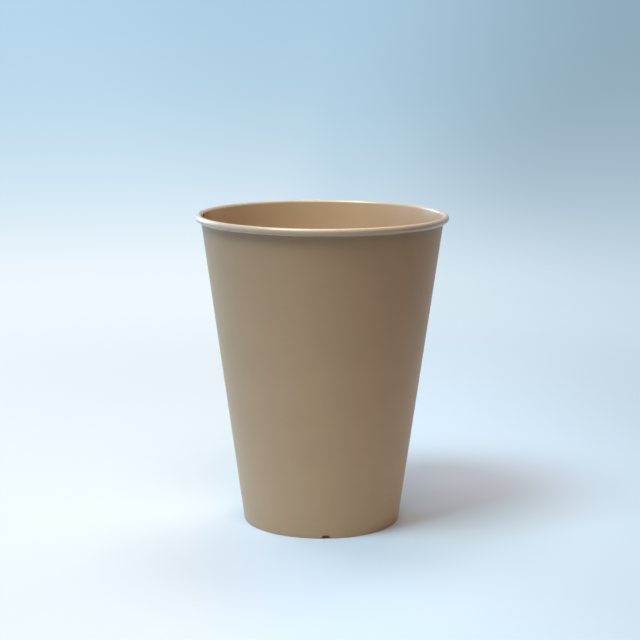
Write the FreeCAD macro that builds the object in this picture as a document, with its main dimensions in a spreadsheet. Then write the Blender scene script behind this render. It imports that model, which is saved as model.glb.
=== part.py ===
import FreeCAD, Part
import Sketcher
import math
import os

# A rolled-rim paper cup. The cup stands on the XY plane, its axis is Z, and its front faces -Y.
# All lengths are millimetres and all angles are degrees.

doc = FreeCAD.newDocument("PaperCup")

# Driving dimensions: the name of each cell, its value, and what it measures.
DRIVING_SIZES = [
    ("cup_height", 111.5, "table to the top of the rolled rim"),
    ("rim_diameter", 90.0, "across the outside of the rolled rim"),
    ("foot_diameter", 56.2, "outside of the wall where it meets the table"),
    ("wall_paper", 0.38, "thickness of the sidewall sheet with its lining"),
    ("curl_width", 2.13, "the rolled rim across its roll"),
    ("curl_flank", 0.43, "upright stretch on the outside of the roll"),
    ("curl_gap", 0.15, "from the cut edge of the roll to the wall"),
    ("hem_height", 7.6, "table to the top edge of the folded-in hem"),
    ("fold_radius", 0.3, "rounding of the fold that the cup stands on"),
    ("bottom_paper", 0.3, "thickness of the bottom disc"),
    ("disc_clear", 1.8, "from the top of the hem to the underside of the disc"),
    ("disc_bend", 0.5, "inside radius where the disc turns down into its skirt"),
    ("skirt_clear", 0.35, "from the top of the foot notch to the edge of the skirt"),
    ("seal_gap", 0.05, "room for the lining on each side of the skirt"),
    ("seam_angle", 168.0, "place of the side seam, counted from +X towards +Y"),
    ("lap_width", 6.0, "overlap of the two edges of the sheet"),
    ("joggle_width", 2.5, "where the outer edge steps down beside the overlap"),
    ("seam_swell", 0.12, "how far the rolled rim swells over the side seam"),
    ("notch_angle", 3.5, "place of the foot notch, counted from the front towards +X"),
    ("notch_width", 2.8, "foot notch across"),
    ("notch_height", 1.25, "foot notch, table to its top"),
    ("notch_corner", 0.8, "rounding of the top corners of the foot notch"),
]

sheet = doc.addObject("Spreadsheet::Sheet", "Sizes")
for row, (alias, value, note) in enumerate(DRIVING_SIZES, start=1):
    sheet.set(f"A{row}", note)
    sheet.set(f"B{row}", str(value))
    sheet.setAlias(f"B{row}", alias)
doc.recompute()

# Places along a line or an arc, as Sketcher counts them, and the sketch's own axes.
START, END, CENTRE = range(1, 4)
ORIGIN, ACROSS_AXIS, UP_AXIS = -1, -1, -2

# Expressions that more than one feature reads.
ROLL_RADIUS = "Sizes.curl_width / 2"
FOOT_RADIUS = "Sizes.foot_diameter / 2"
SLOT_WIDTH = "Sizes.bottom_paper + 2 * Sizes.seal_gap"
DISC_UNDERSIDE = "Sizes.hem_height + Sizes.disc_clear"
WALL_RISE = "SidewallProfile.Constraints.wall_rise"
GROUND = "0"

# A second ply reaches this share of a sheet into the ply below, so that the two are one.
ROOT_SHARE = 0.5
JOGGLE_END = f"Sizes.lap_width / 2 + {1 + ROOT_SHARE} * Sizes.joggle_width"


def size(alias):
    """The value of one driving dimension."""
    return float(sheet.get(alias))


def wall_lean():
    """The wall's lean from upright, close enough to start a sketch from."""
    roll = size("curl_width") / 2
    run = size("rim_diameter") / 2 - 2 * roll - size("foot_diameter") / 2
    return math.degrees(math.atan(run / (size("cup_height") - roll)))


def point(across, up):
    return FreeCAD.Vector(across, up, 0)


def line(start, end):
    return Part.LineSegment(point(*start), point(*end))


def arc(centre, radius, start_angle, end_angle):
    circle = Part.Circle(point(*centre), FreeCAD.Vector(0, 0, 1), radius)
    return Part.ArcOfCircle(circle, math.radians(start_angle), math.radians(end_angle))


def new_body(label):
    body = doc.addObject("PartDesign::Body", label.title().replace("_", ""))
    body.Label = label
    return body


def new_sketch(body, plane_role, name):
    """A sketch on one of the body's own origin planes."""
    plane = next(p for p in body.Origin.OriginFeatures if p.Role == plane_role)
    sketch = body.newObject("Sketcher::SketchObject", name)
    sketch.AttachmentSupport = [(plane, "")]
    sketch.MapMode = "FlatFace"
    return sketch


def constrain(sketch, kind, *places):
    return sketch.addConstraint(Sketcher.Constraint(kind, *places))


def drive(sketch, name, expression, kind, *places):
    """A dimension with a name, whose value follows an expression."""
    index = sketch.addConstraint(Sketcher.Constraint(kind, *places))
    sketch.renameConstraint(index, name)
    sketch.setExpression(f"Constraints.{name}", expression)


def build_sidewall_profile(body):
    """Half section of the sheet: wall, rolled rim, fold and hem, as one closed outline."""
    sketch = new_sketch(body, "XZ_Plane", "SidewallProfile")
    paper = size("wall_paper")
    roll = size("curl_width") / 2
    foot = size("foot_diameter") / 2
    roll_x = size("rim_diameter") / 2 - roll
    crown_z = size("cup_height") - roll
    tuck_z = crown_z - size("curl_flank")
    lean = wall_lean()
    slope = math.tan(math.radians(lean))
    slot = size("bottom_paper") + 2 * size("seal_gap")
    hem_top = size("hem_height")
    fold = size("fold_radius")
    inside_x = foot - paper
    slot_x = inside_x - slot
    hem_x = slot_x - paper
    wall_x = roll_x - roll
    tail_angle = 220

    outline = [
        line((foot, fold), (wall_x + paper, crown_z)),
        arc((roll_x, crown_z), roll - paper, 0, 180 - lean),
        line((roll_x + roll - paper, crown_z), (roll_x + roll - paper, tuck_z)),
        arc((roll_x, tuck_z), roll - paper, tail_angle, 360),
        line((roll_x - roll / 2, tuck_z - roll / 2), (roll_x - roll, tuck_z - roll)),
        arc((roll_x, tuck_z), roll, tail_angle, 360),
        line((roll_x + roll, tuck_z), (roll_x + roll, crown_z)),
        arc((roll_x, crown_z), roll, 0, 180 - lean),
        line((wall_x, crown_z), (inside_x, paper)),
        line((inside_x, paper), (slot_x, paper)),
        line((slot_x, paper), (slot_x + slope * hem_top, hem_top)),
        line((slot_x + slope * hem_top, hem_top), (hem_x + slope * hem_top, hem_top)),
        line((hem_x + slope * hem_top, hem_top), (hem_x, fold)),
        arc((hem_x + fold, fold), fold, 180, 270),
        line((hem_x + fold, 0), (foot - fold, 0)),
        arc((foot - fold, fold), fold, 270, 360),
    ]
    names = (
        "wall_outside crown_inside flank_inside tuck_inside tail_edge tuck_outside "
        "flank_outside crown_outside wall_inside slot_floor hem_back hem_edge hem_front "
        "fold_inner ground fold_outer"
    )
    edge = {name: number for number, name in enumerate(names.split())}
    sketch.addGeometry(outline, False)
    foot_corner = sketch.addGeometry(Part.Point(point(foot, 0)), True)

    smooth_joins = [
        ("wall_outside", END, "crown_inside", END),
        ("crown_inside", START, "flank_inside", START),
        ("flank_inside", END, "tuck_inside", END),
        ("tuck_outside", END, "flank_outside", START),
        ("flank_outside", END, "crown_outside", START),
        ("crown_outside", END, "wall_inside", START),
        ("hem_front", END, "fold_inner", START),
        ("fold_inner", END, "ground", START),
        ("ground", END, "fold_outer", START),
        ("fold_outer", END, "wall_outside", START),
    ]
    for first, first_end, second, second_end in smooth_joins:
        constrain(sketch, "Tangent", edge[first], first_end, edge[second], second_end)
    sharp_joins = [
        ("tuck_inside", START, "tail_edge", START),
        ("wall_inside", END, "slot_floor", START),
        ("slot_floor", END, "hem_back", START),
        ("hem_back", END, "hem_edge", START),
        ("hem_edge", END, "hem_front", START),
    ]
    for first, first_end, second, second_end in sharp_joins:
        constrain(sketch, "Coincident", edge[first], first_end, edge[second], second_end)
    constrain(sketch, "Perpendicular", edge["tail_edge"], END, edge["tuck_outside"], START)
    for inside, outside in [("crown_inside", "crown_outside"), ("tuck_inside", "tuck_outside")]:
        constrain(sketch, "Coincident", edge[inside], CENTRE, edge[outside], CENTRE)
    for upright in ("flank_inside", "flank_outside"):
        constrain(sketch, "Vertical", edge[upright])
    for level in ("slot_floor", "ground"):
        constrain(sketch, "Horizontal", edge[level])
    for side in ("wall_inside", "hem_back", "hem_front"):
        constrain(sketch, "Parallel", edge["wall_outside"], edge[side])
    constrain(sketch, "Perpendicular", edge["hem_edge"], edge["hem_front"])
    constrain(sketch, "PointOnObject", edge["ground"], START, ACROSS_AXIS)
    constrain(sketch, "PointOnObject", foot_corner, START, ACROSS_AXIS)
    constrain(sketch, "PointOnObject", foot_corner, START, edge["wall_outside"])
    constrain(sketch, "Equal", edge["fold_inner"], edge["fold_outer"])

    drive(sketch, "roll_outside", ROLL_RADIUS, "Radius", edge["crown_outside"], roll)
    drive(sketch, "tuck_roll", ROLL_RADIUS, "Radius", edge["tuck_outside"], roll)
    drive(sketch, "roll_inside", f"{ROLL_RADIUS} - Sizes.wall_paper",
          "Radius", edge["crown_inside"], roll - paper)
    drive(sketch, "rim_radius", "Sizes.rim_diameter / 2",
          "DistanceX", ORIGIN, START, edge["flank_outside"], START, roll_x + roll)
    drive(sketch, "crown_centre", f"Sizes.cup_height - {ROLL_RADIUS}",
          "DistanceY", ORIGIN, START, edge["crown_outside"], CENTRE, crown_z)
    drive(sketch, "flank_length", "Sizes.curl_flank",
          "DistanceY", edge["flank_outside"], START, edge["flank_outside"], END, crown_z - tuck_z)
    drive(sketch, "tail_gap", "Sizes.curl_gap",
          "Distance", edge["tuck_outside"], START, edge["wall_outside"], size("curl_gap"))
    drive(sketch, "foot_radius", FOOT_RADIUS,
          "DistanceX", ORIGIN, START, foot_corner, START, foot)
    drive(sketch, "fold_round", "Sizes.fold_radius", "Radius", edge["fold_outer"], fold)
    drive(sketch, "fold_paper", "Sizes.wall_paper",
          "DistanceY", ORIGIN, START, edge["slot_floor"], START, paper)
    drive(sketch, "slot_width", SLOT_WIDTH,
          "Distance", edge["hem_back"], START, edge["wall_inside"], slot)
    drive(sketch, "hem_paper", "Sizes.wall_paper", "Distance", edge["hem_edge"], paper)
    drive(sketch, "hem_top", "Sizes.hem_height",
          "DistanceY", ORIGIN, START, edge["hem_back"], END, hem_top)

    rise = sketch.addConstraint(
        Sketcher.Constraint("Angle", edge["wall_outside"], math.radians(90 - lean)))
    sketch.setDriving(rise, False)
    sketch.renameConstraint(rise, "wall_rise")
    doc.recompute()
    return sketch


def revolve(body, sketch, name, angle_expression=None):
    """Turn a half section about the cup's axis, all round or evenly to both sides."""
    revolution = body.newObject("PartDesign::Revolution", name)
    revolution.Profile = sketch
    revolution.ReferenceAxis = (sketch, ["V_Axis"])
    revolution.Angle = 360
    if angle_expression:
        revolution.Midplane = True
        revolution.setExpression("Angle", angle_expression)
    doc.recompute()
    return revolution


def outer_radius(height):
    """Expression for the wall's outer radius at a height above the table."""
    return f"{FOOT_RADIUS} + ({height}) / tan({WALL_RISE})"


def place_at_seam(sketch, height):
    """Lift a plan sketch to its height and turn its across axis to the side seam."""
    sketch.AttachmentOffset = FreeCAD.Placement(
        FreeCAD.Vector(0, 0, 0), FreeCAD.Rotation(FreeCAD.Vector(0, 0, 1), size("seam_angle")))
    sketch.setExpression("AttachmentOffset.Base.z", height)
    sketch.setExpression("AttachmentOffset.Rotation.Angle", "Sizes.seam_angle")


def lap_section(body, name, height, surface_radius, guess_radius, outward):
    """Plan section of the second ply that lies on the sheet at the side seam.

    It is as thick as the sheet across the lap, steps down to nothing beside it, and
    reaches into the ply below.
    outward is 1 on the outside of the wall and -1 on the inside of the hem.
    """
    sketch = new_sketch(body, "XY_Plane", name)
    place_at_seam(sketch, height)
    sign = "+" if outward > 0 else "-"
    opposite = "-" if outward > 0 else "+"
    paper = size("wall_paper")
    half_lap = size("lap_width") / 2
    face = guess_radius + outward * paper
    root = guess_radius - outward * ROOT_SHARE * paper
    ramp_end = half_lap + (1 + ROOT_SHARE) * size("joggle_width")

    def on_circle(radius, side):
        return (math.sqrt(radius ** 2 - side ** 2), side)

    def turn(radius, side):
        return math.degrees(math.asin(side / radius))

    sketch.addGeometry([
        arc((0, 0), face, turn(face, -half_lap), turn(face, half_lap)),
        line(on_circle(face, half_lap), on_circle(root, ramp_end)),
        arc((0, 0), root, turn(root, -half_lap), turn(root, ramp_end)),
        line(on_circle(root, -half_lap), on_circle(face, -half_lap)),
    ], False)
    top_face, ramp, root_face, cut_edge = range(4)
    constrain(sketch, "Coincident", top_face, END, ramp, START)
    constrain(sketch, "Coincident", ramp, END, root_face, END)
    constrain(sketch, "Coincident", root_face, START, cut_edge, START)
    constrain(sketch, "Coincident", cut_edge, END, top_face, START)
    constrain(sketch, "Coincident", top_face, CENTRE, ORIGIN, START)
    constrain(sketch, "Coincident", root_face, CENTRE, ORIGIN, START)
    constrain(sketch, "Horizontal", cut_edge)
    drive(sketch, "face_radius", f"{surface_radius} {sign} Sizes.wall_paper",
          "Radius", top_face, face)
    drive(sketch, "root_radius",
          f"{surface_radius} {opposite} {ROOT_SHARE} * Sizes.wall_paper",
          "Radius", root_face, root)
    drive(sketch, "cut_side", "Sizes.lap_width / 2",
          "DistanceY", cut_edge, START, ORIGIN, START, half_lap)
    drive(sketch, "joggle_side", "Sizes.lap_width / 2",
          "DistanceY", ORIGIN, START, ramp, START, half_lap)
    drive(sketch, "joggle_foot", JOGGLE_END,
          "DistanceY", ORIGIN, START, ramp, END, ramp_end)
    return sketch


def groove_section(body, name, height, surface_radius, guess_radius):
    """Plan section of the wedge beside the inner cut edge, where the sheet steps outward."""
    sketch = new_sketch(body, "XY_Plane", name)
    place_at_seam(sketch, height)
    paper = size("wall_paper")
    edge_side = size("lap_width") / 2
    ramp_end = edge_side + (1 + ROOT_SHARE) * size("joggle_width")
    deep = guess_radius + paper
    clear = guess_radius - ROOT_SHARE * paper
    corners = [
        (math.sqrt(deep ** 2 - edge_side ** 2), edge_side),
        (math.sqrt(clear ** 2 - ramp_end ** 2), ramp_end),
        (math.sqrt(clear ** 2 - edge_side ** 2), edge_side),
    ]
    sketch.addGeometry([line(corners[i], corners[(i + 1) % 3]) for i in range(3)], False)
    for i in range(3):
        constrain(sketch, "Coincident", i, END, (i + 1) % 3, START)
    constrain(sketch, "Horizontal", 2)
    drive(sketch, "deep_radius", f"{surface_radius} + Sizes.wall_paper",
          "Distance", ORIGIN, START, 0, START, deep)
    drive(sketch, "far_radius", f"{surface_radius} - {ROOT_SHARE} * Sizes.wall_paper",
          "Distance", ORIGIN, START, 1, START, clear)
    drive(sketch, "near_radius", f"{surface_radius} - {ROOT_SHARE} * Sizes.wall_paper",
          "Distance", ORIGIN, START, 2, START, clear)
    drive(sketch, "edge_side", "Sizes.lap_width / 2",
          "DistanceY", ORIGIN, START, 0, START, edge_side)
    drive(sketch, "ramp_end", JOGGLE_END,
          "DistanceY", ORIGIN, START, 1, START, ramp_end)
    return sketch


def loft(body, kind, name, lower, upper):
    feature = body.newObject(f"PartDesign::{kind}", name)
    feature.Profile = lower
    feature.Sections = [upper]
    feature.Ruled = True
    lower.Visibility = False
    upper.Visibility = False
    doc.recompute()
    return feature


def build_rim_swell(body):
    """Half section of the rolled rim over the seam, where the plies fill the roll."""
    sketch = new_sketch(body, "XZ_Plane", "RimSwellSection")
    sketch.AttachmentOffset = FreeCAD.Placement(
        FreeCAD.Vector(0, 0, 0), FreeCAD.Rotation(FreeCAD.Vector(0, 1, 0), size("seam_angle")))
    sketch.setExpression("AttachmentOffset.Rotation.Angle", "Sizes.seam_angle")
    roll = size("curl_width") / 2
    centre_x = size("rim_diameter") / 2 - roll + size("seam_swell")
    crown_z = size("cup_height") - roll
    tuck_z = crown_z - size("curl_flank")
    sketch.addGeometry([
        arc((centre_x, crown_z), roll, 0, 180),
        line((centre_x - roll, crown_z), (centre_x - roll, tuck_z)),
        arc((centre_x, tuck_z), roll, 180, 360),
        line((centre_x + roll, tuck_z), (centre_x + roll, crown_z)),
    ], False)
    crown, inner_flank, tuck, outer_flank = range(4)
    constrain(sketch, "Tangent", crown, END, inner_flank, START)
    constrain(sketch, "Tangent", inner_flank, END, tuck, START)
    constrain(sketch, "Tangent", tuck, END, outer_flank, START)
    constrain(sketch, "Tangent", outer_flank, END, crown, START)
    constrain(sketch, "Vertical", inner_flank)
    constrain(sketch, "Vertical", outer_flank)
    drive(sketch, "roll_round", ROLL_RADIUS, "Radius", crown, roll)
    drive(sketch, "rim_radius", "Sizes.rim_diameter / 2 + Sizes.seam_swell",
          "DistanceX", ORIGIN, START, outer_flank, START, centre_x + roll)
    drive(sketch, "crown_centre", f"Sizes.cup_height - {ROLL_RADIUS}",
          "DistanceY", ORIGIN, START, crown, CENTRE, crown_z)
    drive(sketch, "flank_length", "Sizes.curl_flank",
          "DistanceY", outer_flank, START, outer_flank, END, crown_z - tuck_z)
    span = "(Sizes.lap_width + 2 * Sizes.joggle_width) / (Sizes.rim_diameter / 2) * 180 / pi"
    return revolve(body, sketch, "RimSwell", span)


def build_foot_notch(body):
    """Small arched notch through the foot at the front."""
    sketch = new_sketch(body, "XZ_Plane", "NotchOutline")
    sketch.AttachmentOffset = FreeCAD.Placement(
        FreeCAD.Vector(0, 0, 0), FreeCAD.Rotation(FreeCAD.Vector(0, 1, 0), size("notch_angle")))
    sketch.setExpression("AttachmentOffset.Rotation.Angle", "Sizes.notch_angle")
    half = size("notch_width") / 2
    top = size("notch_height")
    corner = size("notch_corner")
    below = -size("wall_paper")
    sketch.addGeometry([
        line((-half, below), (half, below)),
        line((half, below), (half, top - corner)),
        arc((half - corner, top - corner), corner, 0, 90),
        line((half - corner, top), (corner - half, top)),
        arc((corner - half, top - corner), corner, 90, 180),
        line((-half, top - corner), (-half, below)),
    ], False)
    floor_line, right_side, right_round, top_line, left_round, left_side = range(6)
    constrain(sketch, "Coincident", floor_line, END, right_side, START)
    constrain(sketch, "Coincident", left_side, END, floor_line, START)
    for first, second in [(right_side, right_round), (right_round, top_line),
                          (top_line, left_round), (left_round, left_side)]:
        constrain(sketch, "Tangent", first, END, second, START)
    constrain(sketch, "Vertical", right_side)
    constrain(sketch, "Vertical", left_side)
    constrain(sketch, "Horizontal", top_line)
    constrain(sketch, "Equal", left_round, right_round)
    constrain(sketch, "Symmetric", floor_line, START, floor_line, END, UP_AXIS)
    drive(sketch, "notch_width", "Sizes.notch_width", "DistanceX", floor_line, START,
          floor_line, END, 2 * half)
    drive(sketch, "notch_height", "Sizes.notch_height",
          "DistanceY", ORIGIN, START, top_line, START, top)
    drive(sketch, "notch_corner", "Sizes.notch_corner", "Radius", right_round, corner)
    drive(sketch, "notch_below", "Sizes.wall_paper",
          "DistanceY", floor_line, START, ORIGIN, START, -below)
    pocket = body.newObject("PartDesign::Pocket", "FootNotch")
    pocket.Profile = sketch
    pocket.Type = "Length"
    pocket.Length = size("foot_diameter")
    pocket.setExpression("Length", "Sizes.foot_diameter")
    pocket.Reversed = True
    doc.recompute()
    return pocket


def build_sidewall():
    """The wound sheet: conical wall, rolled rim, lapped side seam and folded-in hem."""
    body = new_body("sidewall")
    revolve(body, build_sidewall_profile(body), "WoundSheet")

    foot = size("foot_diameter") / 2
    slope = math.tan(math.radians(wall_lean()))
    tuck_height = f"Sizes.cup_height - {ROLL_RADIUS} - Sizes.curl_flank"
    inner_offset = f"Sizes.wall_paper / sin({WALL_RISE})"
    hem_offset = f"(2 * Sizes.wall_paper + {SLOT_WIDTH}) / sin({WALL_RISE})"

    def guess(height, inset=0):
        return foot + slope * height - inset

    loft(body, "AdditiveLoft", "OuterPly",
         lap_section(body, "OuterPlyFoot", GROUND, outer_radius(GROUND), guess(0), 1),
         lap_section(body, "OuterPlyTop", tuck_height, outer_radius(tuck_height),
                     guess(size("cup_height")), 1))
    hem = 2 * size("wall_paper") + size("bottom_paper") + 2 * size("seal_gap")
    loft(body, "AdditiveLoft", "HemPly",
         lap_section(body, "HemPlyFoot", GROUND,
                     f"{outer_radius(GROUND)} - {hem_offset}", guess(0, hem), -1),
         lap_section(body, "HemPlyTop", "Sizes.hem_height",
                     f"{outer_radius('Sizes.hem_height')} - {hem_offset}",
                     guess(size("hem_height"), hem), -1))
    build_rim_swell(body)
    loft(body, "SubtractiveLoft", "InnerEdgeStep",
         groove_section(body, "InnerStepLow", "Sizes.hem_height",
                        f"{outer_radius('Sizes.hem_height')} - {inner_offset}",
                        guess(size("hem_height"), size("wall_paper"))),
         groove_section(body, "InnerStepTop", "Sizes.cup_height",
                        f"{outer_radius('Sizes.cup_height')} - {inner_offset}",
                        guess(size("cup_height"), size("wall_paper"))))
    build_foot_notch(body)
    return body


def build_bottom_disc():
    """The flat disc and its skirt, which hangs between the wall and the hem."""
    body = new_body("bottom_disc")
    sketch = new_sketch(body, "XZ_Plane", "DiscProfile")
    paper = size("bottom_paper")
    bend = size("disc_bend")
    foot = size("foot_diameter") / 2
    underside = size("hem_height") + size("disc_clear")
    skirt_low = size("notch_height") + size("skirt_clear")
    skirt_x = foot - size("wall_paper") - size("seal_gap")
    lean = wall_lean()
    slope = math.tan(math.radians(lean))
    top_x = skirt_x + slope * underside
    low_x = skirt_x + slope * skirt_low
    sketch.addGeometry([
        line((0, underside + paper), (top_x - bend - paper, underside + paper)),
        arc((top_x - bend - paper, underside - bend), bend + paper, -lean, 90),
        line((top_x, underside - bend), (low_x, skirt_low)),
        line((low_x, skirt_low), (low_x - paper, skirt_low)),
        line((low_x - paper, skirt_low), (top_x - paper, underside - bend)),
        arc((top_x - bend - paper, underside - bend), bend, -lean, 90),
        line((top_x - bend - paper, underside), (0, underside)),
        line((0, underside), (0, underside + paper)),
    ], False)
    (plate_top, bend_outside, skirt_outside, skirt_edge,
     skirt_inside, bend_inside, plate_under, middle) = range(8)
    wall = sketch.addGeometry(line((foot, 0), (foot + slope * underside, underside)), True)
    constrain(sketch, "Tangent", plate_top, END, bend_outside, END)
    constrain(sketch, "Tangent", bend_outside, START, skirt_outside, START)
    constrain(sketch, "Coincident", skirt_outside, END, skirt_edge, START)
    constrain(sketch, "Coincident", skirt_edge, END, skirt_inside, START)
    constrain(sketch, "Tangent", skirt_inside, END, bend_inside, START)
    constrain(sketch, "Tangent", bend_inside, END, plate_under, START)
    constrain(sketch, "Coincident", plate_under, END, middle, START)
    constrain(sketch, "Coincident", middle, END, plate_top, START)
    constrain(sketch, "Coincident", bend_outside, CENTRE, bend_inside, CENTRE)
    constrain(sketch, "Horizontal", plate_top)
    constrain(sketch, "Horizontal", plate_under)
    constrain(sketch, "PointOnObject", middle, START, UP_AXIS)
    constrain(sketch, "PointOnObject", middle, END, UP_AXIS)
    constrain(sketch, "Parallel", skirt_outside, wall)
    constrain(sketch, "Parallel", skirt_inside, wall)
    constrain(sketch, "Perpendicular", skirt_edge, skirt_outside)
    constrain(sketch, "PointOnObject", wall, START, ACROSS_AXIS)
    drive(sketch, "foot_radius", FOOT_RADIUS, "DistanceX", ORIGIN, START, wall, START, foot)
    drive(sketch, "wall_rise", WALL_RISE, "Angle", wall, math.radians(90 - lean))
    drive(sketch, "wall_top", DISC_UNDERSIDE, "DistanceY", ORIGIN, START, wall, END, underside)
    drive(sketch, "disc_underside", DISC_UNDERSIDE,
          "DistanceY", ORIGIN, START, plate_under, START, underside)
    drive(sketch, "bend_inside", "Sizes.disc_bend", "Radius", bend_inside, bend)
    drive(sketch, "bend_outside", "Sizes.disc_bend + Sizes.bottom_paper",
          "Radius", bend_outside, bend + paper)
    drive(sketch, "skirt_seal", "Sizes.wall_paper + Sizes.seal_gap",
          "Distance", skirt_outside, END, wall, size("wall_paper") + size("seal_gap"))
    drive(sketch, "skirt_edge", "Sizes.notch_height + Sizes.skirt_clear",
          "DistanceY", ORIGIN, START, skirt_outside, END, skirt_low)
    revolve(body, sketch, "PressedDisc")
    return body


def check_document(bodies):
    """Stop if any feature failed, a sketch is loose, or a body isn't one sound solid."""
    doc.recompute()
    for item in doc.Objects:
        if "Invalid" in item.State or "Error" in item.State:
            raise RuntimeError(f"{item.Label} failed: {item.State}")
        if item.TypeId == "Sketcher::SketchObject" and not item.FullyConstrained:
            raise RuntimeError(f"{item.Label} is not fully constrained")
    for body in bodies:
        shape = body.Shape
        if shape.isNull() or not shape.isValid() or len(shape.Solids) != 1:
            raise RuntimeError(f"{body.Label} is not one valid solid")


def main():
    bodies = [build_sidewall(), build_bottom_disc()]
    check_document(bodies)
    os.makedirs("parts", exist_ok=True)
    for body in bodies:
        body.Shape.exportStep(f"parts/{body.Label}.step")
        box = body.Shape.optimalBoundingBox(True, False)
        print(f"{body.Label}: {box.XLength:.2f} x {box.YLength:.2f} x {box.ZLength:.2f} mm, "
              f"{body.Shape.Volume:.1f} mm3")


main()
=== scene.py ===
import math
import bmesh
import bpy
from mathutils import Matrix, Vector


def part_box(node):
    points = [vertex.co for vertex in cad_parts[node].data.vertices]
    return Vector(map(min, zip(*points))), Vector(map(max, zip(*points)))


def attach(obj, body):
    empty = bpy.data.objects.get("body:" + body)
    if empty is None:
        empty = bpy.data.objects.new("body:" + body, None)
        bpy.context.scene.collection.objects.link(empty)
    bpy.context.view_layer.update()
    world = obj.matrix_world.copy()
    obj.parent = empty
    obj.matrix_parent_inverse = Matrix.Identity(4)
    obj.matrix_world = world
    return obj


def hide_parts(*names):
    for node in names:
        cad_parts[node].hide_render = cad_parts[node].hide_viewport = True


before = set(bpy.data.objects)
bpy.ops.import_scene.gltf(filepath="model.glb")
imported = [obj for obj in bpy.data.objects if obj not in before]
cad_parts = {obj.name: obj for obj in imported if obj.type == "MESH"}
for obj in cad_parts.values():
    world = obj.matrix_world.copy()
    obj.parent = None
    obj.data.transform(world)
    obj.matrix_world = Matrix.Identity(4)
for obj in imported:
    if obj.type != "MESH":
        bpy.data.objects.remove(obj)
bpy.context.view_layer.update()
mm = 0.001  # sizes in the dictionaries are millimetres, Blender counts metres
weldGap = 0.002 * mm
touch = 0.05  # millimetres: nearer than this is the same height
sharpAngle = math.radians(35)
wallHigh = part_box("sidewall")[1] / mm
discLow, discHigh = (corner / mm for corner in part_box("bottom_disc"))
print("frame loaded")


# Colours and nodes

def srgb(code):
    parts = [int(code[i:i + 2], 16) / 255 for i in (1, 3, 5)]
    return [p / 12.92 if p <= 0.04045 else ((p + 0.055) / 1.055) ** 2.4 for p in parts] + [1.0]


def addNode(tree, kind, settings=None, links=None):
    # settings holds the node's own properties and, under "inputs", its socket values
    node = tree.nodes.new(kind)
    for name, value in (settings or {}).items():
        if name != "inputs":
            setattr(node, name, value)
    for name, value in (settings or {}).get("inputs", {}).items():
        node.inputs[name].default_value = value
    for name, socket in (links or {}).items():
        tree.links.new(socket, node.inputs[name])
    return node


def newMaterial(name):
    material = bpy.data.materials.new(name)
    material.use_nodes = True
    material.node_tree.nodes.clear()
    return material, material.node_tree


# Drawing a half section in the XZ plane with one moving vertex

def drawLine(bm, tip, to, steps=1):
    start = tip.co.copy()
    end = Vector((to[0], 0, to[1])) * mm
    for step in range(1, steps + 1):
        tip = bmesh.ops.extrude_vert_indiv(bm, verts=[tip])["verts"][0]
        tip.co = start.lerp(end, step / steps)
    return tip


def drawArc(bm, tip, centre, degrees, steps):
    # positive degrees turn clockwise, with X to the right and Z up
    turned = bmesh.ops.spin(
        bm, geom=[tip], cent=Vector((centre[0], 0, centre[1])) * mm, axis=(0, 1, 0),
        angle=math.radians(degrees), steps=steps)
    return [item for item in turned["geom_last"] if isinstance(item, bmesh.types.BMVert)][0]


def spinSection(bm, steps):
    bmesh.ops.remove_doubles(bm, verts=bm.verts[:], dist=weldGap)
    bmesh.ops.spin(
        bm, geom=bm.verts[:] + bm.edges[:], cent=(0, 0, 0), axis=(0, 0, 1),
        angle=math.tau, steps=steps, use_merge=True)
    bmesh.ops.remove_doubles(bm, verts=bm.verts[:], dist=weldGap)
    bmesh.ops.recalc_face_normals(bm, faces=bm.faces[:])


def finishPiece(bm, name, materials):
    mesh = bpy.data.meshes.new(name)
    bm.to_mesh(mesh)
    bm.free()
    for material in materials:
        mesh.materials.append(material)
    mesh.shade_smooth()
    mesh.set_sharp_from_angle(angle=sharpAngle)
    piece = bpy.data.objects.new(name, mesh)
    bpy.context.scene.collection.objects.link(piece)
    return piece


# Materials

outsideLook = {
    "pale": "#BB9F80", "deep": "#B69A7C",
    "mottleMm": 14.0,      # cloudy patches of pulp
    "fibreLongMm": 2.2,    # fibres run with the sheet, round the cup
    "fibreWideMm": 0.35,   # real ones are about 0.03 wide, too fine to show, so these are coarser
    "fibreShare": 0.55,    # of the fibres in the tint, beside the clouds
    "tintFrom": 0.5, "tintTo": 1.05,
    "roughness": 0.44, "smoother": 0.05, "rougher": 0.06,
    "filmIor": 1.5, "filmShare": 0.0, "filmRoughness": 0.3,
    "bumpMm": 0.012, "bumpStrength": 0.35,
}
# the lining's paler tint is painted light: it stands in for the brighter light inside the cup
liningLook = dict(outsideLook, pale="#C6AD90", deep="#C0A688", roughness=0.3, bumpMm=0.006)
# the rim's paler, whiter tint is a painted highlight along the top of the rolled rim
rimLook = dict(
    outsideLook, pale="#C4B19B", deep="#BBA892", roughness=0.33, filmShare=0.9,
    filmRoughness=0.34, bumpMm=0.004)


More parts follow.
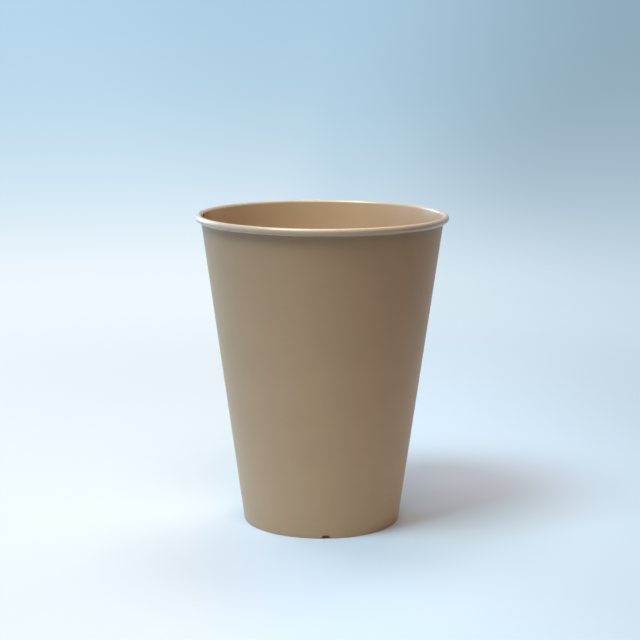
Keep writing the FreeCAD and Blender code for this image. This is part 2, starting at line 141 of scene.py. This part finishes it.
def makeKraftBoard(name, look):
    # Calendered kraft cupboard: a satin tan sheet, faintly clouded, with short fibres lying
    # one way. The lining side is shinier, because a film covers it; its paler tint is painted
    # light, standing in for the brighter light inside the cup. The rim, burnished by the curling
    # tool, has the film's shine over the sheet's own; its paler, whiter tint is a painted
    # highlight.
    material, tree = newMaterial(name)
    place = addNode(tree, "ShaderNodeTexCoord")
    sheet = addNode(tree, "ShaderNodeUVMap", {"uv_map": "sheetMm"})
    cloud = addNode(tree, "ShaderNodeTexNoise", {
        "inputs": {"Scale": 1 / (look["mottleMm"] * mm), "Detail": 4.0, "Roughness": 0.6}},
        {"Vector": place.outputs["Object"]})
    stretch = addNode(tree, "ShaderNodeMapping", {"inputs": {"Scale": (
        1 / look["fibreLongMm"], 1 / look["fibreWideMm"], 1.0)}},
        {"Vector": sheet.outputs["UV"]})
    fibre = addNode(tree, "ShaderNodeTexNoise", {
        "inputs": {"Scale": 1.0, "Detail": 3.0, "Roughness": 0.65, "Distortion": 0.8}},
        {"Vector": stretch.outputs["Vector"]})
    both = addNode(tree, "ShaderNodeMath", {
        "operation": "MULTIPLY_ADD", "inputs": {1: look["fibreShare"]}},
        {0: fibre.outputs["Fac"], 2: cloud.outputs["Fac"]})
    level = addNode(tree, "ShaderNodeMapRange", {"inputs": {
        "From Min": look["tintFrom"], "From Max": look["tintTo"]}},
        {"Value": both.outputs["Value"]})
    tint = addNode(tree, "ShaderNodeMix", {"data_type": "RGBA"}, {0: level.outputs["Result"]})
    tint.inputs[6].default_value = srgb(look["deep"])
    tint.inputs[7].default_value = srgb(look["pale"])
    gloss = addNode(tree, "ShaderNodeMapRange", {"inputs": {
        "To Min": look["roughness"] - look["smoother"],
        "To Max": look["roughness"] + look["rougher"]}},
        {"Value": fibre.outputs["Fac"]})
    relief = addNode(tree, "ShaderNodeBump", {"inputs": {
        "Strength": look["bumpStrength"], "Distance": look["bumpMm"] * mm}},
        {"Height": fibre.outputs["Fac"]})
    shader = addNode(tree, "ShaderNodeBsdfPrincipled", {
        "inputs": {"IOR": look["filmIor"], "Metallic": 0.0, "Coat Weight": look["filmShare"],
                   "Coat Roughness": look["filmRoughness"], "Coat IOR": look["filmIor"]}},
        {"Base Color": tint.outputs[2], "Roughness": gloss.outputs["Result"],
         "Normal": relief.outputs["Normal"]})
    addNode(tree, "ShaderNodeOutputMaterial", None, {"Surface": shader.outputs["BSDF"]})
    return material


cutLook = {
    "core": "#AE8C64", "coreDark": "#876944",
    "plyMm": 0.12,
    "roughness": 0.85, "ior": 1.5,
    "bumpMm": 0.03, "bumpStrength": 0.5,
}


def makeCutEdge(name, look):
    # Guillotined board: the bare edge of the sheet, dull and hairy, with no film on it.
    material, tree = newMaterial(name)
    place = addNode(tree, "ShaderNodeTexCoord")
    fuzz = addNode(tree, "ShaderNodeTexNoise", {
        "inputs": {"Scale": 1 / (look["plyMm"] * mm), "Detail": 2.0}},
        {"Vector": place.outputs["Object"]})
    tint = addNode(tree, "ShaderNodeMix", {"data_type": "RGBA"}, {0: fuzz.outputs["Fac"]})
    tint.inputs[6].default_value = srgb(look["coreDark"])
    tint.inputs[7].default_value = srgb(look["core"])
    relief = addNode(tree, "ShaderNodeBump", {"inputs": {
        "Strength": look["bumpStrength"], "Distance": look["bumpMm"] * mm}},
        {"Height": fuzz.outputs["Fac"]})
    shader = addNode(tree, "ShaderNodeBsdfPrincipled", {
        "inputs": {"Roughness": look["roughness"], "IOR": look["ior"]}},
        {"Base Color": tint.outputs[2], "Normal": relief.outputs["Normal"]})
    addNode(tree, "ShaderNodeOutputMaterial", None, {"Surface": shader.outputs["BSDF"]})
    return material


outsideBoard = makeKraftBoard("calenderedKraftBoard", outsideLook)
liningBoard = makeKraftBoard("filmLinedBoardPaintedLight", liningLook)
rimBoard = makeKraftBoard("rimBoardPaintedHighlight", rimLook)
cutEdge = makeCutEdge("cutBoardEdge", cutLook)
sheetMaterials = [outsideBoard, cutEdge, liningBoard, rimBoard]
outsideSlot, cutSlot, liningSlot, rimSlot = range(len(sheetMaterials))
print("materials made")


# The wound sheet: wall, rolled rim, side seam, fold and hem

wound = {
    "footRadius": 28.1,
    "sheet": 0.38,
    "rollWidth": 2.13,
    "rollHeight": 2.56,
    "rollCrown": 0.95,     # radius of the roll at its top and underneath
    "tailGap": 0.15,
    "foldRound": 0.3,
    "slot": 0.4,           # room for the disc's skirt
    "hemHeight": 7.6,
    "turns": 360,
    "wallSteps": 26,
    "rollSteps": (4, 12, 7, 8),   # inner flank, top, outer flank, tail
    "foldSteps": (5, 6),          # outside and inside of the fold
    "hemSteps": (10, 4),          # its face and its back
}
seam = {
    "angle": 168.0,        # from +X towards +Y
    "lap": 6.0,
    "joggle": 2.5,         # the sheet steps down beside the lap over this far
    "edgeWidth": 0.03,     # how far a cut edge leans
    "rollSwell": 0.12, "rollGroove": 0.13,
}
knurl = {"ribs": 90, "depth": 0.07, "from": 1.6, "to": 6.8, "fade": 0.6}
notch = {
    "angle": 3.5, "width": 2.8, "height": 1.25, "corner": 0.8,
    "depth": 1.0,          # leaves a skin of the hem's ply, as brown as the sheet's core
    "cutterReach": 4.0,
}
hiddenFace, printedFace, linedFace, rollFace, hemFace = range(5)


def rollShape(w):
    # a four-arc oval: where its centre is, its flank radius and where the arcs meet
    half, tall, crown = w["rollWidth"] / 2, w["rollHeight"] / 2, w["rollCrown"]
    rise = tall - crown
    flank = (rise ** 2 + half ** 2 - crown ** 2) / (2 * (half - crown))
    centre = (wallHigh.x - half, wallHigh.z - tall)
    meet = math.degrees(math.atan2(rise, flank - half))
    return centre, flank, rise, meet


def wallLean(w):
    # the printed face runs from the foot's corner to the inner side of the roll
    centre, flank, rise, meet = rollShape(w)
    acrossTo = centre[0] + flank - w["rollWidth"] / 2 - w["footRadius"]
    reach = math.hypot(acrossTo, centre[1])
    return math.atan2(acrossTo, centre[1]) - math.asin((flank - w["sheet"]) / reach)


def drawSheetSection(bm, w):
    side = bm.verts.layers.int.new("side")
    lean = wallLean(w)
    leanDegrees = math.degrees(lean)
    centre, flank, rise, meet = rollShape(w)
    half, sheet, crown = w["rollWidth"] / 2, w["sheet"], w["rollCrown"]
    innerFlank = (centre[0] + flank - half, centre[1])
    outerFlank = (centre[0] - flank + half, centre[1])
    topCrown = (centre[0], centre[1] + rise)
    lowCrown = (centre[0], centre[1] - rise)

    def onWall(z, depth):
        # a point of the wall's section, depth millimetres in from the printed face
        return (w["footRadius"] + z * math.tan(lean) - depth / math.cos(lean), z)

    tailDegrees = 90 - math.degrees(math.asin(
        (onWall(lowCrown[1] - crown, 0)[0] + w["tailGap"] - lowCrown[0]) / -crown))
    tailSweep = 180 - meet - tailDegrees
    tangentZ = centre[1] + flank * math.sin(lean)
    hemBack = sheet + w["slot"]
    hemFront = hemBack + sheet
    innerSteps, topSteps, outerSteps, tailSteps = w["rollSteps"]

    marked = 0

    def mark(code):
        # all that was drawn since the last mark is on this face of the sheet
        nonlocal marked
        bm.verts.ensure_lookup_table()
        for v in bm.verts[marked:]:
            v[side] = code
        marked = len(bm.verts)

    tip = start = bm.verts.new(Vector((onWall(sheet, sheet)[0], 0, sheet)) * mm)
    tip = drawLine(bm, tip, onWall(tangentZ, sheet), w["wallSteps"])
    mark(linedFace)
    tip = drawArc(bm, tip, innerFlank, meet - leanDegrees, innerSteps)
    tip = drawArc(bm, tip, topCrown, 180 - 2 * meet, topSteps)
    tip = drawArc(bm, tip, outerFlank, 2 * meet, outerSteps)
    tip = drawArc(bm, tip, lowCrown, tailSweep, tailSteps)
    mark(rollFace)
    inward = Vector((lowCrown[0], 0, lowCrown[1])) * mm - tip.co
    cut = tip.co + inward.normalized() * sheet * mm
    tip = drawLine(bm, tip, (cut.x / mm, cut.z / mm))
    tip = drawArc(bm, tip, lowCrown, -tailSweep, tailSteps)
    tip = drawArc(bm, tip, outerFlank, -2 * meet, outerSteps)
    tip = drawArc(bm, tip, topCrown, 2 * meet - 180, topSteps)
    tip = drawArc(bm, tip, innerFlank, leanDegrees - meet, innerSteps)
    mark(hiddenFace)
    fold = w["foldRound"]
    tip = drawLine(bm, tip, onWall(fold * (1 - math.sin(lean)), 0), w["wallSteps"])
    outerFold = (onWall(fold, fold)[0], fold)
    tip = drawArc(bm, tip, outerFold, 90 - leanDegrees, w["foldSteps"][0])
    innerFold = (onWall(fold, hemFront - fold)[0], fold)
    mark(printedFace)
    tip = drawLine(bm, tip, (innerFold[0], 0))
    tip = drawArc(bm, tip, innerFold, 90 + leanDegrees, w["foldSteps"][1])
    tip = drawLine(bm, tip, onWall(w["hemHeight"], hemFront), w["hemSteps"][0])
    mark(hemFace)
    tip = drawLine(bm, tip, onWall(w["hemHeight"], hemBack))
    tip = drawLine(bm, tip, onWall(sheet, hemBack), w["hemSteps"][1])
    mark(hiddenFace)
    bmesh.ops.contextual_create(bm, geom=[tip, start])
    return side


def smoothStep(x):
    x = min(max(x, 0.0), 1.0)
    return x * x * (3 - 2 * x)


def lapHeight(s, across):
    # the outer ply's rise over the sheet: a sharp cut edge, the lap, and the step down
    half = s["lap"] / 2
    if across < -half or across > half + s["joggle"]:
        return 0.0
    return 1.0 if across <= half else 1 - smoothStep((across - half) / s["joggle"])


def stepDepth(s, across):
    # the wedge beside the inner cut edge, where the sheet goes over to the outer ply
    half = s["lap"] / 2
    if across < half or across > half + s["joggle"]:
        return 0.0
    return 1 - smoothStep((across - half) / s["joggle"])


def seamAxes(s):
    # out through the middle of the lap, and across it
    turn = math.radians(s["angle"])
    return (Vector((math.cos(turn), math.sin(turn), 0)),
            Vector((-math.sin(turn), math.cos(turn), 0)))


def cutSeamColumns(bm, s):
    # clean vertical edge lines where the plies start, stop and step down
    along, across = seamAxes(s)
    half = s["lap"] / 2
    cutReach, cutSnap = 2.5, 0.003
    stops = [-half - s["edgeWidth"], -half, half - s["edgeWidth"], half]
    stops += [half + s["joggle"] * share for share in (0.25, 0.5, 0.75, 1.0)]
    for stop in stops:
        near = [f for f in bm.faces if f.calc_center_median().dot(along) > 0
                and abs(f.calc_center_median().dot(across) / mm - stop) < cutReach]
        edges = list(dict.fromkeys(e for f in near for e in f.edges))
        verts = list(dict.fromkeys(v for f in near for v in f.verts))
        bmesh.ops.bisect_plane(
            bm, geom=near + edges + verts, dist=cutSnap * mm,
            plane_co=across * stop * mm, plane_no=across)


def layLap(bm, side, w, s):
    along, across = seamAxes(s)
    cutSeamColumns(bm, s)
    bm.normal_update()
    moves = []
    for v in bm.verts:
        offset = v.co.dot(across) / mm
        if v.co.dot(along) < 0 or abs(offset) > s["lap"] / 2 + s["joggle"]:
            continue
        level = Vector((v.normal.x, v.normal.y, 0))
        level = level.normalized() if level.length > 0.2 else Vector()
        if v[side] in (printedFace, hemFace):
            outward = Vector((v.co.x, v.co.y, 0)).normalized()
            if v[side] == hemFace:
                outward.negate()
            moves.append((v, outward * lapHeight(s, offset) * w["sheet"]))
        elif v[side] == linedFace:
            moves.append((v, -level * stepDepth(s, offset) * w["sheet"]))
        elif v[side] == rollFace:
            swell = level * smoothStep(1 - abs(offset) / (s["lap"] / 2 + s["joggle"]))
            groove = v.normal * stepDepth(s, offset) * s["rollGroove"]
            moves.append((v, swell * s["rollSwell"] - groove))
    for v, move in moves:
        v.co += move * mm


def pressKnurl(bm, side, k):
    # the rollers that seal the foot leave upright ribs on the inside of the hem
    for v in bm.verts:
        z = v.co.z / mm
        if v[side] == hemFace and k["from"] < z < k["to"]:
            fade = smoothStep((z - k["from"]) / k["fade"]) * smoothStep((k["to"] - z) / k["fade"])
            wave = math.cos(math.atan2(v.co.y, v.co.x) * k["ribs"])
            v.co += Vector((v.co.x, v.co.y, 0)).normalized() * wave * fade * k["depth"] * mm


def addSheetMap(bm, side, w, s):
    # a map of the flat sheet in millimetres: u from the lap's outer edge round to it, v up
    layer = bm.loops.layers.uv.new("sheetMm")
    radius = (w["footRadius"] + wallHigh.x) / 2
    linedShift = 40  # so that the two sides of the sheet don't show the same fibres
    for face in bm.faces:
        middle = face.calc_center_median()
        edge = math.radians(s["angle"]) - math.asin(s["lap"] / 2 * mm / middle.xy.length)
        turn = edge + (math.atan2(middle.y, middle.x) - edge) % math.tau
        for loop in face.loops:
            co = loop.vert.co
            own = math.atan2(co.y, co.x)
            own += math.tau * round((turn - own) / math.tau)
            shift = linedShift if loop.vert[side] == linedFace else 0
            loop[layer].uv = (own * radius, co.z / mm + shift)


def makeNotchCutter(n):
    cutter = bmesh.new()
    bmesh.ops.create_cube(cutter, size=1.0)
    reach = n["cutterReach"]
    radius = wound["footRadius"] - n["depth"] + reach / 2
    bmesh.ops.scale(cutter, verts=cutter.verts[:], vec=(
        n["width"] * mm, reach * mm, 2 * n["height"] * mm))
    upper = [e for e in cutter.edges if all(v.co.z > 0 for v in e.verts)
             and abs(e.verts[0].co.y - e.verts[1].co.y) > mm]
    bmesh.ops.bevel(cutter, geom=upper, offset=n["corner"] * mm, segments=6, profile=0.5,
                    affect="EDGES", material=-1)
    bmesh.ops.translate(cutter, verts=cutter.verts[:], vec=(0, -radius * mm, 0))
    bmesh.ops.rotate(cutter, verts=cutter.verts[:], cent=(0, 0, 0),
                     matrix=Matrix.Rotation(math.radians(n["angle"]), 3, "Z"))
    for face in cutter.faces:
        face.material_index = cutSlot
    return finishPiece(cutter, "notchCutter", sheetMaterials)


def cutNotch(piece, n):
    cutter = makeNotchCutter(n)
    punch = piece.modifiers.new("footNotch", "BOOLEAN")
    punch.operation = "DIFFERENCE"
    punch.solver = "EXACT"
    punch.object = cutter
    bpy.context.view_layer.update()
    evaluated = piece.evaluated_get(bpy.context.evaluated_depsgraph_get())
    mesh = bpy.data.meshes.new_from_object(evaluated)
    piece.modifiers.clear()
    piece.data = mesh
    mesh.set_sharp_from_angle(angle=sharpAngle)
    bpy.data.objects.remove(cutter)


def buildWoundSheet(w, s, k, n):
    bm = bmesh.new()
    side = drawSheetSection(bm, w)
    spinSection(bm, w["turns"])
    layLap(bm, side, w, s)
    pressKnurl(bm, side, k)
    bmesh.ops.recalc_face_normals(bm, faces=bm.faces[:])
    addSheetMap(bm, side, w, s)
    along, across = seamAxes(s)
    half = s["lap"] / 2
    for face in bm.faces:
        middle = face.calc_center_median()
        offset = middle.dot(across) / mm
        sides = {v[side] for v in face.verts}
        outerCut = -half - s["edgeWidth"] < offset < -half and linedFace not in sides
        innerCut = half - s["edgeWidth"] < offset < half and printedFace not in sides
        onSeam = middle.dot(along) > 0 and (outerCut or innerCut)
        onHemTop = abs(middle.z / mm - w["hemHeight"]) < touch and abs(face.normal.z) > 0.9
        if onSeam or onHemTop:
            face.material_index = cutSlot
        elif sides == {rollFace}:
            face.material_index = rimSlot
        elif sides <= {linedFace, rollFace, hiddenFace}:
            face.material_index = liningSlot
        else:
            face.material_index = outsideSlot
    piece = finishPiece(bm, "woundSheet", sheetMaterials)
    cutNotch(piece, n)
    return piece


woundSheet = buildWoundSheet(wound, seam, knurl, notch)
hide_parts("sidewall")
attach(woundSheet, "root")
print("wound sheet built", len(woundSheet.data.polygons), "faces")


# The bottom disc and its skirt

disc = {
    "sheet": 0.3, "bend": 0.5,
    "sealGap": 0.05,       # room for the lining on each side of the skirt
    "turns": 240, "plateSteps": 10, "skirtSteps": 6, "bendSteps": (8, 6),
}


def buildDisc(d):
    bm = bmesh.new()
    lean = wallLean(wound)
    leanDegrees = math.degrees(lean)
    under = discHigh.z - d["sheet"]
    bendZ = under - d["bend"]

    def onSkirt(z, depth):
        inset = wound["sheet"] + d["sealGap"] + depth
        return (wound["footRadius"] + z * math.tan(lean) - inset / math.cos(lean), z)

    centre = (onSkirt(bendZ, d["bend"] + d["sheet"])[0], bendZ)
    tip = bm.verts.new(Vector((0, 0, discHigh.z)) * mm)
    tip = drawLine(bm, tip, (centre[0], discHigh.z), d["plateSteps"])
    tip = drawArc(bm, tip, centre, 90 + leanDegrees, d["bendSteps"][0])
    tip = drawLine(bm, tip, onSkirt(discLow.z, 0), d["skirtSteps"])
    tip = drawLine(bm, tip, onSkirt(discLow.z, d["sheet"]))
    bendEnd = bendZ - d["bend"] * math.sin(lean)
    tip = drawLine(bm, tip, onSkirt(bendEnd, d["sheet"]), d["skirtSteps"])
    tip = drawArc(bm, tip, centre, -90 - leanDegrees, d["bendSteps"][1])
    tip = drawLine(bm, tip, (0, under), d["plateSteps"])
    spinSection(bm, d["turns"])
    layer = bm.loops.layers.uv.new("sheetMm")
    for face in bm.faces:
        for loop in face.loops:
            loop[layer].uv = (loop.vert.co.x / mm, loop.vert.co.y / mm)
        if face.calc_center_median().z / mm < discLow.z + touch:
            face.material_index = cutSlot
        elif face.normal.z > 0:
            face.material_index = liningSlot
        else:
            face.material_index = outsideSlot
    return finishPiece(bm, "bottomDisc", sheetMaterials)


bottomDisc = buildDisc(disc)
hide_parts("bottom_disc")
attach(bottomDisc, "root")
print("bottom disc built")


# Floor, background and lamps

studio = {
    "floorRadius": 40000.0,
    "stops": (-60.0, 20.0, 250.0),                # the floor's three tones lie at these x
    # the paint gets darker to the right: painted shade, standing in for the light falling off
    # away from the left
    "paint": ("#CFDAEB", "#C4DAF5", "#A9C1DC"),   # round the cup, as painted
    "lit": ("#EEF8FE", "#DAEAF5", "#C8DAE7"),     # the same, as the lamps show them
    # bounce is painted light for the cup's walls: bluish to the left, warm and darker to the
    # right, and bounceEnd fades it to dark grey, a painted pool of light round the cup
    "bounce": ("#D9EAFC", "#DBE1E8", "#BCA688"),  # what the cup's walls get back from it
    "bounceEnd": "#3C3C3C",                       # the same, far from the cup
    "bounceFrom": 90.0, "bounceTo": 320.0,
    # far colours: pale blue, darker to the right as painted falloff of the light from the left
    "farLeft": "#B6D7EC", "farMiddle": "#ACCDE2", "farRight": "#8FAABC",
    "farMiddleAt": 0.45,
    "farSpread": 0.19,       # sideways share of a direction at which the far colours end
    "farInverse": -0.1,      # one over the metres from the cup, for the far colour
    "nearInverse": 1.85,     # and for the lit one
    "paintEnd": 190.0, "glowStart": 450.0,
    "fromBelow": 0.45,       # reaches the cup only in a view that leaves the floor out
    "belowFade": 0.3,
}


def addFarColour(tree, direction, look):
    # pale blue, darker to the right as painted falloff of the light from the left; read from a
    # direction's sideways share
    parts = addNode(tree, "ShaderNodeSeparateXYZ", None, {"Vector": direction})
    share = addNode(tree, "ShaderNodeMapRange", {"inputs": {
        "From Min": -look["farSpread"], "From Max": look["farSpread"]}},
        {"Value": parts.outputs["X"]})
    ramp = addNode(tree, "ShaderNodeValToRGB", None, {"Fac": share.outputs["Result"]})
    ramp.color_ramp.interpolation = "EASE"
    ramp.color_ramp.elements[0].color = srgb(look["farLeft"])
    ramp.color_ramp.elements[1].color = srgb(look["farRight"])
    ramp.color_ramp.elements.new(look["farMiddleAt"]).color = srgb(look["farMiddle"])
    return ramp.outputs["Color"]


def addPlainView(tree):
    # 1 where a camera, glossy or transmission ray looks, 0 where the surface only lights others
    ray = addNode(tree, "ShaderNodeLightPath")
    looks = addNode(tree, "ShaderNodeMath", {"operation": "MAXIMUM"}, {
        0: ray.outputs["Is Camera Ray"], 1: ray.outputs["Is Glossy Ray"]})
    looks = addNode(tree, "ShaderNodeMath", {"operation": "MAXIMUM"}, {
        0: looks.outputs["Value"], 1: ray.outputs["Is Transmission Ray"]})
    return looks.outputs["Value"]


def makeFloor(look):
    # Matt painted studio floor: dead flat and pale. It takes the cup's soft shadow and, with
    # distance,
    # glows with painted light: the floor's lit look, going over to pale blue that is darker to
    # the right.
    bm = bmesh.new()
    bmesh.ops.create_circle(bm, cap_ends=True, segments=96, radius=look["floorRadius"] * mm)
    material, tree = newMaterial("mattPaintedFloor")
    place = addNode(tree, "ShaderNodeTexCoord")
    spot = place.outputs["Object"]
    heading = addNode(tree, "ShaderNodeVectorMath", {"operation": "NORMALIZE"}, {0: spot})
    far = addFarColour(tree, heading.outputs["Vector"], look)
    parts = addNode(tree, "ShaderNodeSeparateXYZ", None, {"Vector": spot})
    low, middle, high = look["stops"]
    side = addNode(tree, "ShaderNodeMapRange", {"inputs": {
        "From Min": low * mm, "From Max": high * mm}}, {"Value": parts.outputs["X"]})
    across = {}
    for key in ("paint", "lit", "bounce"):
        node = addNode(tree, "ShaderNodeValToRGB", None, {"Fac": side.outputs["Result"]})
        ramp = node.color_ramp
        ramp.interpolation = "EASE"
        ramp.elements[0].color = srgb(look[key][0])
        ramp.elements[1].color = srgb(look[key][2])
        ramp.elements.new((middle - low) / (high - low)).color = srgb(look[key][1])
        across[key] = node.outputs["Color"]
    reach = addNode(tree, "ShaderNodeVectorMath", {"operation": "LENGTH"}, {0: spot})
    inverse = addNode(tree, "ShaderNodeMath", {
        "operation": "DIVIDE", "inputs": {0: 1.0}}, {1: reach.outputs["Value"]})
    closeness = addNode(tree, "ShaderNodeMapRange", {"interpolation_type": "SMOOTHSTEP",
        "inputs": {"From Min": look["farInverse"], "From Max": look["nearInverse"]}},
        {"Value": inverse.outputs["Value"]})
    colour = addNode(tree, "ShaderNodeMix", {"data_type": "RGBA"}, {
        0: closeness.outputs["Result"], 6: far, 7: across["lit"]})
    glowShare = addNode(tree, "ShaderNodeMapRange", {"interpolation_type": "SMOOTHSTEP",
        "inputs": {"From Min": look["paintEnd"] * mm, "From Max": look["glowStart"] * mm}},
        {"Value": reach.outputs["Value"]})
    seen = addPlainView(tree)
    glowSeen = addNode(tree, "ShaderNodeMath", {"operation": "MULTIPLY"}, {
        0: glowShare.outputs["Result"], 1: seen})
    bounceFade = addNode(tree, "ShaderNodeMapRange", {"interpolation_type": "SMOOTHSTEP",
        "inputs": {"From Min": look["bounceFrom"] * mm, "From Max": look["bounceTo"] * mm}},
        {"Value": reach.outputs["Value"]})
    bounce = addNode(tree, "ShaderNodeMix", {"data_type": "RGBA"}, {
        0: bounceFade.outputs["Result"], 6: across["bounce"]})
    bounce.inputs[7].default_value = srgb(look["bounceEnd"])
    coat = addNode(tree, "ShaderNodeMix", {"data_type": "RGBA"}, {
        0: seen, 6: bounce.outputs[2], 7: across["paint"]})
    matt = addNode(tree, "ShaderNodeBsdfDiffuse", None, {"Color": coat.outputs[2]})
    glow = addNode(tree, "ShaderNodeEmission", None, {"Color": colour.outputs[2]})
    mix = addNode(tree, "ShaderNodeMixShader", None, {
        0: glowSeen.outputs["Value"], 1: matt.outputs["BSDF"], 2: glow.outputs["Emission"]})
    addNode(tree, "ShaderNodeOutputMaterial", None, {"Surface": mix.outputs["Shader"]})
    floor = finishPiece(bm, "floor", [material])


def makeWorld(look):
    world = bpy.data.worlds.new("studioAir")
    bpy.context.scene.world = world
    world.use_nodes = True
    tree = world.node_tree
    tree.nodes.clear()
    place = addNode(tree, "ShaderNodeTexCoord")
    parts = addNode(tree, "ShaderNodeSeparateXYZ", None, {"Vector": place.outputs["Generated"]})
    below = addNode(tree, "ShaderNodeMapRange", {"inputs": {
        "From Min": -look["belowFade"], "From Max": 0.0,
        "To Min": look["fromBelow"], "To Max": 0.0}},
        {"Value": parts.outputs["Z"]})
    fill = addNode(tree, "ShaderNodeBackground", {"inputs": {"Color": (1, 1, 1, 1)}},
                   {"Strength": below.outputs["Result"]})
    # the background seen is pale blue, darker to the right: painted falloff of the light
    far = addFarColour(tree, place.outputs["Generated"], look)
    seen = addNode(tree, "ShaderNodeBackground", None, {"Color": far})
    mix = addNode(tree, "ShaderNodeMixShader", None, {
        0: addPlainView(tree), 1: fill.outputs["Background"], 2: seen.outputs["Background"]})
    addNode(tree, "ShaderNodeOutputWorld", None, {"Surface": mix.outputs["Shader"]})


lamps = {   # where, side of the square box, watts, colour, whether shiny parts mirror it
    "overheadFront": {"at": (0, -350, 1150), "size": 400, "watts": 0.95,
        "colour": "#FFE7CB", "mirrored": True},
    "overheadLeft": {"at": (-250, 120, 1150), "size": 400, "watts": 3.60,
        "colour": "#FFE0C5", "mirrored": True},
    "overheadBack": {"at": (120, 450, 1100), "size": 400, "watts": 3.50,
        "colour": "#FFF2D3", "mirrored": True},
    "keyBox": {"at": (-420, -360, 1080), "size": 430, "watts": 10.20,
        "colour": "#EDFFF8", "mirrored": True},
    "leftLow": {"at": (-1200, 0, 350), "size": 600, "watts": 2.00,
        "colour": "#98B1FF", "mirrored": True},
    "leftBackLow": {"at": (-900, 900, 420), "size": 700, "watts": 7.20,
        "colour": "#C1E6FF", "mirrored": True},
    "rightBackLow": {"at": (900, 900, 420), "size": 700, "watts": 4.20,
        "colour": "#FFD5B2", "mirrored": False},
    "front60": {"at": (100, -600, 1050), "size": 500, "watts": 3.60,
        "colour": "#FFD8C3", "mirrored": True},
}


def makeLamp(name, lamp):
    data = bpy.data.lights.new(name, "AREA")
    data.shape = "SQUARE"
    data.size = lamp["size"] * mm
    data.energy = lamp["watts"]
    data.color = srgb(lamp["colour"])[:3]
    aim = Vector((0, 0, 60))
    holder = bpy.data.objects.new(name, data)
    holder.location = Vector(lamp["at"]) * mm
    holder.visible_glossy = lamp["mirrored"]
    holder.rotation_euler = (aim - Vector(lamp["at"])).to_track_quat("-Z", "Y").to_euler()
    bpy.context.scene.collection.objects.link(holder)


makeFloor(studio)
makeWorld(studio)
for lampName, lamp in lamps.items():
    makeLamp(lampName, lamp)
print("studio set")


# The camera stands where the photograph was taken from

view = {
    "at": (3.4, -607.5, 183.1),
    "pitchDown": 10.278, "yaw": -0.386, "roll": -0.178,
    "lens": 96.6, "sensor": 36.0,
}


def makeCamera(v):
    data = bpy.data.cameras.new("photoCamera")
    data.lens = v["lens"]
    data.sensor_width = v["sensor"]
    pitch, yaw = math.radians(v["pitchDown"]), math.radians(v["yaw"])
    forward = Vector((math.sin(yaw) * math.cos(pitch), math.cos(yaw) * math.cos(pitch),
                      -math.sin(pitch)))
    right = forward.cross(Vector((0, 0, 1))).normalized()
    up = right.cross(forward)
    turn = Matrix.Rotation(math.radians(v["roll"]), 3, forward)
    camera = bpy.data.objects.new("photoCamera", data)
    axes = Matrix((turn @ right, turn @ up, -forward)).transposed()
    camera.matrix_world = Matrix.Translation(Vector(v["at"]) * mm) @ axes.to_4x4()
    bpy.context.scene.collection.objects.link(camera)
    bpy.context.scene.camera = camera


makeCamera(view)
bpy.context.scene.view_settings.view_transform = "Standard"
print("camera set")
